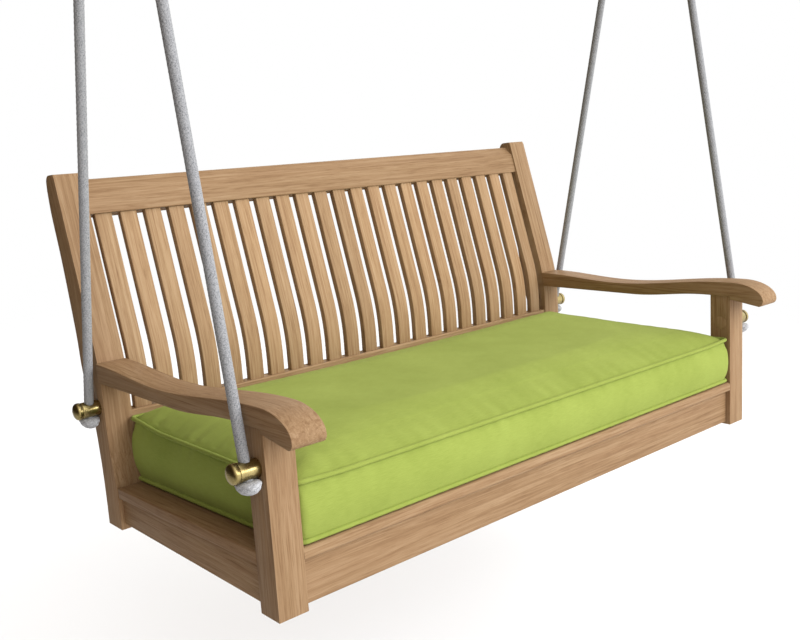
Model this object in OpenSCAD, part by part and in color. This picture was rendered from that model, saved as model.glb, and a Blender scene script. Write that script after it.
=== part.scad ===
// Porch swing: a slatted teak bench with a box cushion, hung on four taut ropes
// from four screw hooks. Millimetres. +Z up, the sitter faces -Y.
// The origin lies in the ceiling plane, midway between the four hooks.

/* [Bench] */
// Width over the outer faces of the legs
bench_w = 1220; // [1100:10:1600]
// Width of a leg, along the bench
leg_w = 50; // [46:1:56]
// Depth of a front leg, front to back
front_leg_d = 46; // [44:1:50]
// Height of the seat boards' top at the front edge
seat_h = 94; // [90:1:100]
// Thickness of the seat boards
board_t = 19; // [16:1:20]
// Slope of the seat, down towards the back, in degrees
seat_slope = 1.8; // [0:0.1:2]
// How far the rails stand back from the legs' outer faces
rail_setback = 8; // [6:1:12]

/* [Back] */
// Number of upright back slats
slat_count = 23; // [15:2:25]
// Distance from one back slat to the next
slat_pitch = 48.4; // [46:0.2:50]
// Width of a back slat
slat_w = 32; // [26:1:36]
// Thickness of a back slat
slat_t = 14; // [10:1:16]
// Lean of the upper back from upright, in degrees
back_lean = 16; // [14:1:17]
// Height of the top of the back posts
post_h = 626; // [620:1:640]

/* [Arms] */
// Width of an armrest
arm_w = 56; // [52:1:60]
// Height of the armrest's top at its lowest, in the middle
arm_dip_h = 291; // [289:1:294]
// Height of the armrest's top at the front
arm_front_h = 311.5; // [309:0.5:314]

/* [Cushion] */
// Length of the cushion, side to side
cushion_w = 1114; // [1000:1:1116]
// Height of the cushion's top seam above the feet
cushion_top = 184; // [170:1:190]
// How far the middle of the cushion swells above its seam
cushion_crown = 34; // [5:1:40]

/* [Hanging] */
// How far the bench leans back as it hangs, in degrees
pitch = 5.44; // [5:0.01:6]
// Diameter of the rope
rope_d = 16; // [14:1:16]
// Distance from the swing's centre line to each rope
rope_x = 627; // [626:1:628]
// Distance of the hooks from the middle, front and back
hook_y = 92; // [91:1:93]

/* [Hidden] */

teak = [0.76, 0.62, 0.46];
teak_dark = [0.62, 0.47, 0.33];
brass = [0.72, 0.60, 0.30];
rope_grey = [0.80, 0.80, 0.82];

// Where the bench hangs below the ceiling plane
drop = 1125;
hang_y = -38;
half_w = bench_w / 2;
inner_x = half_w - leg_w;
fit_gap = 0.2;

// Heights and depths of the bench frame, from the feet and the swing's middle
front_y = -305;
leg_back_y = front_y + front_leg_d;
post_y = 205;
foot_y = 191;
leg_top = 281;
apron_y = front_y + rail_setback + 2;
rail_t = 22;
apron_foot = 5;
rail_foot = 10;
rear_apron_y = 206;
rear_apron_top = 76;
slat_setback = 8;
lean_start = 235;
lean_end = 335;
lean_r = (lean_end - lean_start) / sin(back_lean);
top_rail_z = 553;
top_rail_t = 30;
bottom_rail_y = post_y + 2;
bottom_rail_z = 165;
bottom_rail_h = 42;
bottom_rail_t = 28;
bottom_tenon_z = bottom_rail_z + 6;
bottom_tenon_h = 30;
slat_tenon = 12;
tenon = 20;

// Rope pins, seen from the side as [y, z] below the ceiling, and their sizes
front_pin = [-298, -877];
rear_pin = [211, -928];
shank_r = 8;
bore_r = 8.06;
barrel_r = 14;
head_r = 14.8;
head_x = half_w + 33;
head_rim = 5;
head_dome = 7;
head_groove = 1.4;
groove_depth = 1.2;
nut_recess_r = 14;
nut_recess = 12;

// Centres of the rope eyes as [y, z], and the eye's own sizes
front_eye = [-hook_y, -73];
rear_eye = [hook_y, -75];
eye_r = 32.5;
splice_r = 12.5;
splice_end = 105;
thimble_wall = 2;

// Taut routes of the ropes as [y, z], from the knot up to the splice
FRONT_ROUTE = [[-301.4, -890.8], [-278, -799], [-258, -721], [-238, -643], [-218, -565],
               [-198, -487], [-178, -409], [-158, -331], [-138, -253], [-118, -175]];
REAR_ROUTE = [[213.3, -942], [200, -849], [189, -770], [178, -691], [167, -612], [156, -533],
              [145, -454], [134, -375], [123, -296], [112, -217], [106.5, -179]];

// Hooks
hook_wire_r = 5;
hook_bowl_r = 24;
hook_wire_z = -57.8;
hook_tip_r = 6;
flange_r = 22;
flange_t = 4;
screw_len = 50;

round_fn = 64;

// Angle of a rope from upright, from its pin to its eye
front_angle = atan2(front_eye[0] - front_pin[0], front_eye[1] - front_pin[1]);
rear_angle = atan2(rear_eye[0] - rear_pin[0], rear_eye[1] - rear_pin[1]);

// ---- Curves ----

// Smooth step from 0 to 1 as t goes from 0 to 1, level at both ends
function ease(t) = (1 - cos(180 * min(max(t, 0), 1))) / 2;

// Catmull-Rom curve through a list of points, n steps to each span
function curve_at(p, i, t) =
    let (last = len(p) - 1,
         a = p[max(i - 1, 0)], b = p[i], c = p[min(i + 1, last)], d = p[min(i + 2, last)])
    0.5 * (2 * b + (c - a) * t + (2 * a - 5 * b + 4 * c - d) * t * t
           + (3 * b - a - 3 * c + d) * t * t * t);
function curve(p, n) = concat([for (i = [0:len(p) - 2]) for (k = [0:n - 1]) curve_at(p, i, k / n)],
                              [p[len(p) - 1]]);

// Depth of the post's front face at height z: upright, then an arc, then a straight lean
function face_y(z) =
    z <= lean_start ? post_y
    : z <= lean_end ? post_y + lean_r * (1 - cos(asin((z - lean_start) / lean_r)))
    : post_y + lean_r * (1 - cos(back_lean)) + (z - lean_end) * tan(back_lean);

// Lean of that face at height z, in degrees
function face_lean(z) =
    z <= lean_start ? 0
    : z <= lean_end ? asin((z - lean_start) / lean_r)
    : back_lean;

// Armrest, seen from the side: top and underside heights at depth y
arm_low_y = -10;
arm_high_y = -310;
arm_nose = 70;
arm_nose_h = 276;
arm_tip_d = 10;
arm_tip_h = 11.5;
arm_under_h = 267.5;
arm_rise = 10;
function arm_top(y) =
    y < arm_low_y
    ? arm_dip_h + (arm_front_h - arm_dip_h) * ease((arm_low_y - y) / (arm_low_y - arm_high_y))
    : arm_dip_h + arm_rise * ease((y - arm_low_y) / (post_y - arm_low_y));
arm_under_from = -60;
arm_under_to = -250;
function arm_under(y) =
    arm_under_h + (leg_top - arm_under_h) * ease((arm_under_from - y) / (arm_under_from - arm_under_to));

// ---- Placing ----

// The bench as it hangs, leaning back under its hooks
module hung() {
    translate([0, hang_y, -drop]) rotate([-pitch, 0, 0]) children();
}

// Draws on the right side, or mirrored on the left
module on_side(side) {
    mirror([side < 0 ? 1 : 0, 0, 0]) children();
}

module both_sides() {
    on_side(1) children();
    on_side(-1) children();
}

// Extrudes a side outline of [y, z] points along X, from x0 to x1
module side_board(x0, x1, outline) {
    translate([x0, 0, 0]) rotate([90, 0, 90]) linear_extrude(x1 - x0) polygon(outline);
}

module block(x0, x1, y0, y1, z0, z1) {
    translate([x0, y0, z0]) cube([x1 - x0, y1 - y0, z1 - z0]);
}

// The sloping seat plane: y runs back from the front edge, z = 0 is its top
module seat_plane() {
    translate([0, front_y, seat_h]) rotate([-seat_slope, 0, 0]) children();
}

// Round bar along X from x0 to x1, at depth and height [y, z]
module x_rod(p, x0, x1, r) {
    translate([x0, p[0], p[1]]) rotate([0, 90, 0]) cylinder(h = x1 - x0, r = r, $fn = round_fn);
}

// ---- Legs ----

rail_tenon_z = 22;
rail_tenon_h = 34;
rail_tenon_t = 12;

// Space of the tenons that enter a leg, each a little larger by gap
module side_tenon(gap) {
    x = half_w - rail_setback - rail_t / 2;
    block(x - rail_tenon_t / 2 - gap, x + rail_tenon_t / 2 + gap,
          leg_back_y - tenon - gap, foot_y + tenon + gap,
          rail_tenon_z - gap, rail_tenon_z + rail_tenon_h + gap);
}

module cross_tenon(y, z, h, gap) {
    block(inner_x - 1, inner_x + tenon + gap, y - rail_tenon_t / 2 - gap,
          y + rail_tenon_t / 2 + gap, z - gap, z + h + gap);
}

arm_tenon = [26, 22, 14];
module leg_arm_tenon(gap) {
    x = half_w - leg_w / 2;
    y = front_y + front_leg_d / 2;
    block(x - arm_tenon[0] / 2 - gap, x + arm_tenon[0] / 2 + gap,
          y - arm_tenon[1] / 2 - gap, y + arm_tenon[1] / 2 + gap,
          leg_top - 1, leg_top + arm_tenon[2] + gap);
}

module pin_bore(p) {
    x_rod(p, inner_x - 1, half_w + 1, bore_r);
    x_rod(p, inner_x - 1, inner_x + nut_recess, nut_recess_r);
}

module front_leg(side) {
    color(teak) on_side(side) difference() {
        hung() difference() {
            union() {
                block(inner_x, half_w, front_y, leg_back_y, 0, leg_top);
                leg_arm_tenon(0);
            }
            side_tenon(fit_gap);
            cross_tenon(apron_y + rail_t / 2, rail_tenon_z, rail_tenon_h, fit_gap);
            front_pegs();
        }
        pin_bore(front_pin);
    }
}

// Back edge of the post from the floor to just under its rounded top
post_back_y = 337;
POST_BACK = [[243, 0], [243, 60], [246, 120], [255, 190], [280, 280], [287, 345],
             [310, 470], [331, 555], [post_back_y, 598]];
post_round = 14;

module post_outline() {
    foot = [[foot_y, 0], [foot_y, 75], [post_y - 2, 140]];
    front = [for (z = [180:10:post_h - 6]) [face_y(z), z]];
    top = [[face_y(post_h) + 2, post_h]];
    back_top = [for (a = [90:-15:0]) [post_back_y - post_round + post_round * cos(a),
                                      post_h - 1 - post_round + post_round * sin(a)]];
    back = curve(POST_BACK, 5);
    polygon(concat(foot, front, top, back_top, [for (i = [len(back) - 1:-1:0]) back[i]]));
}

module rear_leg(side) {
    color(teak) on_side(side) difference() {
        hung() difference() {
            translate([inner_x, 0, 0]) rotate([90, 0, 90]) linear_extrude(leg_w) post_outline();
            side_tenon(fit_gap);
            cross_tenon(rear_apron_y + rail_t / 2, rail_tenon_z, rail_tenon_h, fit_gap);
            cross_tenon(bottom_rail_y + bottom_rail_t / 2, bottom_tenon_z, bottom_tenon_h, fit_gap);
            top_rail_tenon(fit_gap);
            arm_back_tenon(fit_gap);
            rear_pegs();
        }
        pin_bore(rear_pin);
    }
}

// ---- Seat frame ----

module side_rail(side) {
    x1 = half_w - rail_setback;
    x0 = x1 - rail_t;
    drop_at = function (y) seat_h - (y - front_y) * tan(seat_slope) - board_t - 0.2;
    color(teak_dark) on_side(side) hung() difference() {
        union() {
            side_board(x0, x1, [[leg_back_y, rail_foot], [foot_y, rail_foot],
                                [foot_y, drop_at(foot_y)], [leg_back_y, drop_at(leg_back_y)]]);
            side_tenon(0);
        }
        front_pegs();
        rear_pegs();
    }
}

module seat_end_board(side) {
    color(teak_dark) on_side(side) hung() seat_plane()
        block(inner_x - 12, half_w, leg_back_y - front_y + 0.7, foot_y - front_y - 0.7, -board_t, 0);
}

module front_apron() {
    color(teak) hung() difference() {
        union() {
            block(-inner_x, inner_x, apron_y, apron_y + rail_t, apron_foot, seat_h - board_t - 1);
            both_sides() cross_tenon(apron_y + rail_t / 2, rail_tenon_z, rail_tenon_h, 0);
        }
        both_sides() front_pegs();
    }
}

module rear_apron() {
    color(teak_dark) hung() difference() {
        union() {
            block(-inner_x, inner_x, rear_apron_y, rear_apron_y + rail_t, rail_foot, rear_apron_top);
            both_sides() cross_tenon(rear_apron_y + rail_t / 2, rail_tenon_z, rail_tenon_h, 0);
        }
        both_sides() rear_pegs();
    }
}

module front_seat_board() {
    color(teak) hung() seat_plane()
        block(-inner_x + 0.2, inner_x - 0.2, 0, front_leg_d - 0.5, -board_t, 0);
}

seat_slat_n = 6;
seat_gap = 8;
seat_run = post_y - leg_back_y;
seat_slat_w = (seat_run - (seat_slat_n + 1) * seat_gap) / seat_slat_n;
seat_slat_half = inner_x - 12.5;
cleat_w = 45;
cleat_x = half_w - rail_setback - rail_t;
cleat_t = 22;
bearer_x = 190;
bearer_w = 34;
bearer_h = 38;
function seat_slat_y(i) = front_leg_d + seat_gap + i * (seat_slat_w + seat_gap);

module seat_slats() {
    color(teak) hung() seat_plane() difference() {
        for (i = [0:seat_slat_n - 1])
            block(-seat_slat_half, seat_slat_half, seat_slat_y(i), seat_slat_y(i) + seat_slat_w,
                  -board_t, 0);
        screw_holes();
    }
}

module seat_cleats() {
    color(teak_dark) hung() seat_plane() difference() {
        both_sides() block(cleat_x - cleat_w, cleat_x, front_leg_d + 2, foot_y - front_y - 2,
                           -board_t - cleat_t, -board_t);
        screw_holes();
    }
}

module seat_bearers() {
    color(teak_dark) hung() seat_plane() difference() {
        both_sides() block(bearer_x - bearer_w / 2, bearer_x + bearer_w / 2, 34,
                           rear_apron_y - front_y - 4, -board_t - bearer_h, -board_t);
        screw_holes();
    }
}

// Screws from below, one through each cleat and bearer into each seat slat
screw_r = 2.5;
screw_len_in = 12;
screw_head_r = 4.5;
screw_head_h = 4;
function screw_xs() = [cleat_x - cleat_w + 8, bearer_x];

module seat_screw_at(x, y, depth, gap) {
    translate([x, y, -board_t - depth]) {
        cylinder(h = depth + screw_len_in, r = screw_r + gap, $fn = 24);
        cylinder(h = screw_head_h, r = screw_head_r + gap, $fn = 24);
    }
}

module screws(gap) {
    both_sides() for (i = [0:seat_slat_n - 1]) {
        y = seat_slat_y(i) + seat_slat_w / 2;
        seat_screw_at(screw_xs()[0], y, cleat_t, gap);
        seat_screw_at(screw_xs()[1], y, bearer_h, gap);
    }
}

module screw_holes() {
    screws(0.05);
}

module seat_screws() {
    color(brass) hung() seat_plane() screws(0);
}

// ---- Arms ----

module arm_outline() {
    rear_top = arm_top(post_y);
    rear = [for (k = [0:8]) let (z = arm_under_h + (rear_top - arm_under_h) * k / 8)
            [face_y(z) - fit_gap, z]];
    top = [for (y = [190:-10:arm_high_y + 10]) [y, arm_top(y)]];
    nose = [for (a = [0:7.5:90]) [arm_high_y - arm_nose * sin(a),
                                  arm_nose_h + (arm_front_h - arm_nose_h) * cos(a)]];
    tip = [for (a = [15:15:90]) [arm_high_y - arm_nose + arm_tip_d * (1 - cos(a)),
                                 arm_nose_h - arm_tip_h * sin(a)]];
    leg_seat = [[front_y - fit_gap, 275], [front_y - fit_gap, leg_top]];
    under = [for (y = [arm_under_to:10:arm_under_from]) [y, arm_under(y)]];
    polygon(concat(rear, top, nose, tip, leg_seat, under));
}

arm_back_tenon_z = 275;
module arm_back_tenon(gap) {
    block(half_w - leg_w / 2 - 13 - gap, half_w - leg_w / 2 + 13 + gap, post_y - 10,
          post_y + 28 + gap, arm_back_tenon_z - gap, arm_back_tenon_z + 16 + gap);
}

module arm(side) {
    arm_x = half_w + 4 - arm_w;
    color(teak) on_side(side) hung() difference() {
        union() {
            translate([arm_x, 0, 0]) rotate([90, 0, 90]) linear_extrude(arm_w) arm_outline();
            arm_back_tenon(0);
        }
        leg_arm_tenon(fit_gap);
    }
}

// ---- Back ----

// Section of the top rail as [depth, height] along its own lean
module top_rail_section() {
    shoulder = [for (a = [0:15:90]) [18 - 6 * cos(a), 62 + 6 * sin(a)]];
    rear = [for (a = [0:15:90]) [26 + 4 * sin(a), 64 + 4 * cos(a)]];
    polygon(concat([[0, 0], [0, 42], [1, 46]], shoulder, rear, [[top_rail_t, 0]]));
}

// The top rail's frame: leaning with the back, from the rail's lower front edge
module along_top_rail() {
    translate([0, face_y(top_rail_z) + 4, top_rail_z]) rotate([-back_lean, 0, 0]) children();
}

module top_rail_tenon(gap) {
    along_top_rail() block(inner_x - 1, inner_x + tenon + gap, 9 - gap, 21 + gap,
                           12 - gap, 44 + gap);
}

module top_rail() {
    color(teak) hung() difference() {
        union() {
            along_top_rail() translate([-inner_x, 0, 0]) rotate([90, 0, 90])
                linear_extrude(2 * inner_x) top_rail_section();
            both_sides() top_rail_tenon(0);
        }
        for (i = [1:slat_count]) slat_body(i, fit_gap);
    }
}

module bottom_rail() {
    y0 = bottom_rail_y;
    z1 = bottom_rail_z + bottom_rail_h;
    color(teak) hung() difference() {
        union() {
            side_board(-inner_x, inner_x,
                       [[y0, bottom_rail_z], [y0, z1 - 2], [y0 + 2, z1], [y0 + bottom_rail_t, z1],
                        [y0 + bottom_rail_t, bottom_rail_z]]);
            both_sides() cross_tenon(y0 + bottom_rail_t / 2, bottom_tenon_z, bottom_tenon_h, 0);
        }
        for (i = [1:slat_count]) slat_body(i, fit_gap);
    }
}

// One curved back slat, let into both rails; gap enlarges it to cut its slots
module slat_body(i, gap) {
    z0 = bottom_rail_z + bottom_rail_h - slat_tenon - gap;
    z1 = top_rail_z + slat_tenon + gap;
    steps = 28;
    heights = [for (k = [0:steps]) z0 + (z1 - z0) * k / steps];
    front = [for (z = heights) [face_y(z) + slat_setback - gap, z]];
    back = [for (k = [steps:-1:0]) let (z = heights[k], lean = face_lean(z))
            [face_y(z) + slat_setback + (slat_t + gap) * cos(lean), z - (slat_t + gap) * sin(lean)]];
    x = (i - (slat_count + 1) / 2) * slat_pitch;
    side_board(x - slat_w / 2 - gap, x + slat_w / 2 + gap, concat(front, back));
}

module back_slat(i) {
    color(teak) hung() slat_body(i, 0);
}

// ---- Pegs and plugs ----

peg_r = 4;
peg_h = 10;
// Pegs stand upright through the tenons, from under the leg's inner corner
module front_pegs() {
    translate([half_w - rail_setback - rail_t / 2, leg_back_y - tenon / 2, rail_tenon_z - peg_h])
        cylinder(h = rail_tenon_h + 2 * peg_h, r = peg_r, $fn = 32);
    translate([inner_x + tenon / 2 - 2, apron_y + rail_t / 2, rail_tenon_z - peg_h])
        cylinder(h = rail_tenon_h + 2 * peg_h, r = peg_r, $fn = 32);
}

module rear_pegs() {
    translate([half_w - rail_setback - rail_t / 2, foot_y + tenon / 2, rail_tenon_z - peg_h])
        cylinder(h = rail_tenon_h + 2 * peg_h, r = peg_r, $fn = 32);
    translate([inner_x + tenon / 2 - 2, rear_apron_y + rail_t / 2 + 1, rail_tenon_z - peg_h])
        cylinder(h = rail_tenon_h + 2 * peg_h, r = peg_r, $fn = 32);
}

module joint_pegs() {
    color(teak_dark) both_sides() hung() {
        front_pegs();
        rear_pegs();
    }
}

module pin_plugs() {
    color(teak_dark) both_sides() for (p = [front_pin, rear_pin])
        x_rod(p, inner_x, inner_x + 3, nut_recess_r - 0.05);
}

// ---- Cushion ----

module cushion() {
    y0 = front_y + 5;
    y1 = post_y - 1.5;
    lift = 0.4;
    floor_at = function (y) seat_h + lift - (y - front_y) * tan(seat_slope);
    crown = [for (k = [0:12]) let (t = k / 12)
             [y0 + (y1 - y0) * t, cushion_top + cushion_crown * sqrt(sin(180 * t))]];
    color([0.63, 0.69, 0.34]) hung()
        side_board(-cushion_w / 2, cushion_w / 2,
                   concat([[y1, floor_at(y1)], [y0, floor_at(y0)]], crown));
}

// ---- Ropes and their fittings ----

// Places a child at a pin or eye [y, z], its own +Z running up the rope
module on_rope(p, angle) {
    translate([rope_x, p[0], p[1]]) rotate([-angle, 0, 0]) children();
}

module rope_pin(p, angle) {
    difference() {
        union() {
            x_rod(p, inner_x + 4, half_w + 0.3, shank_r);
            x_rod(p, half_w + 0.3, head_x - head_groove, barrel_r);
            x_rod(p, head_x - head_groove - 0.1, head_x + 0.1, barrel_r - groove_depth);
            x_rod(p, head_x, head_x + head_rim, head_r);
            translate([head_x + head_rim, p[0], p[1]]) rotate([0, 90, 0]) rotate_extrude($fn = round_fn)
                polygon(concat([[0, 0]], [for (a = [0:10:90]) [head_r * cos(a), head_dome * sin(a)]]));
        }
        on_rope(p, angle) translate([0, 0, -20]) cylinder(h = 40, r = rope_d / 2 + 0.2, $fn = round_fn);
    }
}

module rope_pins(p, angle) {
    color(brass) both_sides() rope_pin(p, angle);
}

// Flanged lock nut in the recess behind the leg's plug
module pin_nuts(p) {
    color(brass) both_sides() difference() {
        union() {
            x_rod(p, inner_x + 10.2, inner_x + nut_recess - 0.3, nut_recess_r - 1);
            translate([inner_x + 4, p[0], p[1]]) rotate([0, 90, 0]) cylinder(h = 6.2, r = 12, $fn = 6);
        }
        x_rod(p, inner_x + 3, inner_x + nut_recess, shank_r);
    }
}

// Tube along a route of [y, z] points at the rope's own x, one ring to a point
rope_sides = 12;
function route_dir(route, i) =
    let (a = route[max(i - 1, 0)], b = route[min(i + 1, len(route) - 1)]) (b - a) / norm(b - a);
function ring(route, i) =
    let (d = route_dir(route, i))
    [for (k = [0:rope_sides - 1]) let (a = 360 * k / rope_sides)
        [rope_x + rope_d / 2 * cos(a), route[i][0] - rope_d / 2 * sin(a) * d[1],
         route[i][1] + rope_d / 2 * sin(a) * d[0]]];

module tube(route) {
    n = rope_sides;
    last = len(route) - 1;
    points = [for (i = [0:last]) each ring(route, i)];
    walls = [for (i = [0:last - 1]) for (k = [0:n - 1])
             [i * n + k, (i + 1) * n + k, (i + 1) * n + (k + 1) % n, i * n + (k + 1) % n]];
    foot = [for (k = [0:n - 1]) k];
    head = [for (k = [n - 1:-1:0]) last * n + k];
    polyhedron(points, concat(walls, [foot, head]));
}

module rope(side, route) {
    color(rope_grey) on_side(side) tube(route);
}

// Stopper knot, drawn up tight against the underside of the pin
knot_r = 16.4;
knot_h = 18;
knot_spread = 7;
module knot_half() {
    rotate_extrude($fn = 32) polygon(concat([[0, -knot_h / 2], [0, knot_h / 2]],
        [for (a = [75:-15:-75]) [knot_r * (0.45 + 0.55 * cos(a)), knot_h / 2 * sin(a)]]));
}

module rope_knots(p, angle) {
    color(rope_grey) both_sides() on_rope(p, angle) translate([0, 0, -barrel_r - 0.3 - knot_h / 2])
        hull() {
            translate([0, -knot_spread, 0]) knot_half();
            translate([0, knot_spread, 0]) knot_half();
        }
}

// Spliced eye: a ring of rope round the thimble, closed by a tapered splice
module rope_eyes(p, angle) {
    color(rope_grey) both_sides() on_rope(p, angle) {
        rotate([0, 90, 0]) rotate_extrude($fn = round_fn)
            translate([eye_r, 0]) circle(r = rope_d / 2, $fn = 32);
        translate([0, 0, -splice_end])
            cylinder(h = splice_end - eye_r - 4, r1 = rope_d / 2 + 1.5, r2 = splice_r, $fn = 48);
    }
}

module thimbles(p, angle) {
    color(brass) both_sides() on_rope(p, angle) rotate([0, 90, 0]) rotate_extrude($fn = round_fn)
        translate([eye_r, 0]) difference() {
            circle(r = rope_d / 2 + thimble_wall, $fn = 32);
            circle(r = rope_d / 2 + 0.05, $fn = 32);
            translate([0, -20]) square([20, 40]);
        }
}

// ---- Ceiling hooks ----

screw_point = 6;
hook_joint_r = hook_wire_r + 2;

// One screw hook: a flange, a shank and an open ring of round wire in the X-Z plane
module ceiling_hook() {
    bowl_z = hook_wire_z + hook_bowl_r;
    ring_top = bowl_z + hook_bowl_r;
    translate([0, 0, ring_top]) cylinder(h = screw_len - screw_point - ring_top, r = hook_wire_r, $fn = 48);
    translate([0, 0, screw_len - screw_point]) cylinder(h = screw_point, r1 = hook_wire_r, r2 = 1, $fn = 48);
    translate([0, 0, -flange_t]) cylinder(h = flange_t, r1 = flange_r - 3, r2 = flange_r, $fn = round_fn);
    translate([0, 0, ring_top]) sphere(r = hook_joint_r, $fn = 48);
    translate([0, 0, bowl_z]) {
        rotate([90, 0, 0]) rotate([0, 0, 90]) rotate_extrude(angle = 270, $fn = round_fn)
            translate([hook_bowl_r, 0]) circle(r = hook_wire_r, $fn = 32);
        translate([hook_bowl_r, 0, 0]) sphere(r = hook_tip_r, $fn = 32);
    }
}

module ceiling_hooks() {
    color([0.70, 0.70, 0.72]) both_sides() for (y = [-hook_y, hook_y])
        translate([rope_x, y, 0]) ceiling_hook();
}

// ---- Drawing ----

front_leg(-1);  // front_leg_left
front_leg(1);  // front_leg_right
rear_leg(-1);  // rear_leg_left
rear_leg(1);  // rear_leg_right
side_rail(-1);  // side_rail_left
side_rail(1);  // side_rail_right
seat_end_board(-1);  // seat_end_board_left
seat_end_board(1);  // seat_end_board_right
front_apron();
rear_apron();
front_seat_board();
seat_slats();
seat_cleats();
seat_bearers();
arm(-1);  // arm_left
arm(1);  // arm_right
top_rail();
bottom_rail();
for (i = [1:slat_count]) back_slat(i);
joint_pegs();
seat_screws();
pin_plugs();
cushion();
rope_pins(front_pin, front_angle);  // rope_pins_front
rope_pins(rear_pin, rear_angle);  // rope_pins_rear
pin_nuts(front_pin);  // pin_nuts_front
pin_nuts(rear_pin);  // pin_nuts_rear
rope(-1, FRONT_ROUTE);  // rope_front_left
rope(1, FRONT_ROUTE);  // rope_front_right
rope(-1, REAR_ROUTE);  // rope_rear_left
rope(1, REAR_ROUTE);  // rope_rear_right
rope_knots(front_pin, front_angle);  // rope_knots_front
rope_knots(rear_pin, rear_angle);  // rope_knots_rear
rope_eyes(front_eye, front_angle);  // rope_eyes_front
rope_eyes(rear_eye, rear_angle);  // rope_eyes_rear
thimbles(front_eye, front_angle);  // thimbles_front
thimbles(rear_eye, rear_angle);  // thimbles_rear
ceiling_hooks();
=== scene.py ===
"""Looks for a slatted teak porch swing with a box cushion, hung on four ropes."""

import math

import bmesh
import bpy
import numpy as np
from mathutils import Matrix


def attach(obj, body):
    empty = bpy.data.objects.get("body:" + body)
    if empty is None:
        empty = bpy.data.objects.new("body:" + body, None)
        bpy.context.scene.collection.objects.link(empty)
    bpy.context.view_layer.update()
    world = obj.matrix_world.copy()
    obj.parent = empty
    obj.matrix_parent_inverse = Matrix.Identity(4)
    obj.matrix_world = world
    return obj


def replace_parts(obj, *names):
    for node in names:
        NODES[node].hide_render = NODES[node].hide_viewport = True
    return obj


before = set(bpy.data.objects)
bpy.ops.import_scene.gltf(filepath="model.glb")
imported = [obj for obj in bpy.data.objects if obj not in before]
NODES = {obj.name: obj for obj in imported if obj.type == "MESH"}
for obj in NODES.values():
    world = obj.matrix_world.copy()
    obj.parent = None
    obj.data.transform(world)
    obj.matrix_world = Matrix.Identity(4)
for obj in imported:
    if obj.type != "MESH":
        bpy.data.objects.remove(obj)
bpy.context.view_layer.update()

# ---- The bench's own measures, in metres, as it stands on its feet ----

LEAN_BACK = math.radians(5.44)
HANG_Y = -0.038
DROP = 1.125
FRONT_Y = -0.305
SEAT_H = 0.094
SEAT_FALL = math.tan(math.radians(1.8))
POST_Y = 0.205
CURVE_START = 0.235
CURVE_END = 0.335
BACK_LEAN = math.radians(16)
CURVE_R = (CURVE_END - CURVE_START) / math.sin(BACK_LEAN)


def hang(points):
    """Bench points to where they hang: turned back by the lean about X, then lowered."""
    p = np.asarray(points, float)
    c, s = math.cos(LEAN_BACK), math.sin(LEAN_BACK)
    out = np.empty_like(p)
    out[..., 0] = p[..., 0]
    out[..., 1] = c * p[..., 1] + s * p[..., 2] + HANG_Y
    out[..., 2] = -s * p[..., 1] + c * p[..., 2] - DROP
    return out


def unhang(points):
    """The inverse of hang: from where they hang back to bench points."""
    p = np.asarray(points, float)
    c, s = math.cos(LEAN_BACK), math.sin(LEAN_BACK)
    y, z = p[..., 1] - HANG_Y, p[..., 2] + DROP
    return np.stack([p[..., 0], c * y - s * z, s * y + c * z], -1)


def back_face_y(z):
    """Depth of the back's front face at height z: upright, then an arc, then a straight lean."""
    a = np.clip((z - CURVE_START) / CURVE_R, 0, math.sin(BACK_LEAN))
    return POST_Y + CURVE_R * (1 - np.sqrt(1 - a * a)) + np.maximum(z - CURVE_END, 0) * math.tan(BACK_LEAN)


# ---- Meshes ----


def finish_object(name, mesh, material, body, sharp):
    """Gives a finished mesh its material and body, shaded smooth but for edges past sharp."""
    mesh.materials.clear()
    mesh.materials.append(material)
    mesh.polygons.foreach_set("use_smooth", np.ones(len(mesh.polygons), bool))
    mesh.set_sharp_from_angle(angle=sharp)
    mesh.update()
    thing = bpy.data.objects.new(name, mesh)
    bpy.context.scene.collection.objects.link(thing)
    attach(thing, body)
    return thing


def grid_faces(rows, columns):
    """Quads of a rows x columns grid whose rows close on themselves."""
    i, k = np.meshgrid(np.arange(rows - 1), np.arange(columns), indexing="ij")
    j = (k + 1) % columns
    here, above = i * columns, (i + 1) * columns
    return np.stack([here + k, here + j, above + j, above + k], -1).reshape(-1, 4)


def set_attribute(mesh, name, kind, values):
    """Stores one value or vector per vertex under a name that materials read."""
    layer = mesh.attributes.new(name, kind, "POINT")
    field = "vector" if kind == "FLOAT_VECTOR" else "value"
    layer.data.foreach_set(field, np.asarray(values, np.float32).ravel())


def vertex_array(mesh):
    """A mesh's vertices as rows of x, y and z."""
    points = np.empty(len(mesh.vertices) * 3, np.float32)
    mesh.vertices.foreach_get("co", points)
    return points.reshape(-1, 3).astype(float)


# ---- Material helpers ----


def feed(tree, node, key, value):
    """Gives a node's input a value, or links another node's output to it."""
    if isinstance(value, bpy.types.NodeSocket):
        tree.links.new(value, node.inputs[key])
    else:
        node.inputs[key].default_value = value


def add_node(tree, kind, inputs, **settings):
    """A new node with some settings and inputs."""
    node = tree.nodes.new(kind)
    for key, value in settings.items():
        setattr(node, key, value)
    for key, value in inputs.items():
        feed(tree, node, key, value)
    return node


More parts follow.
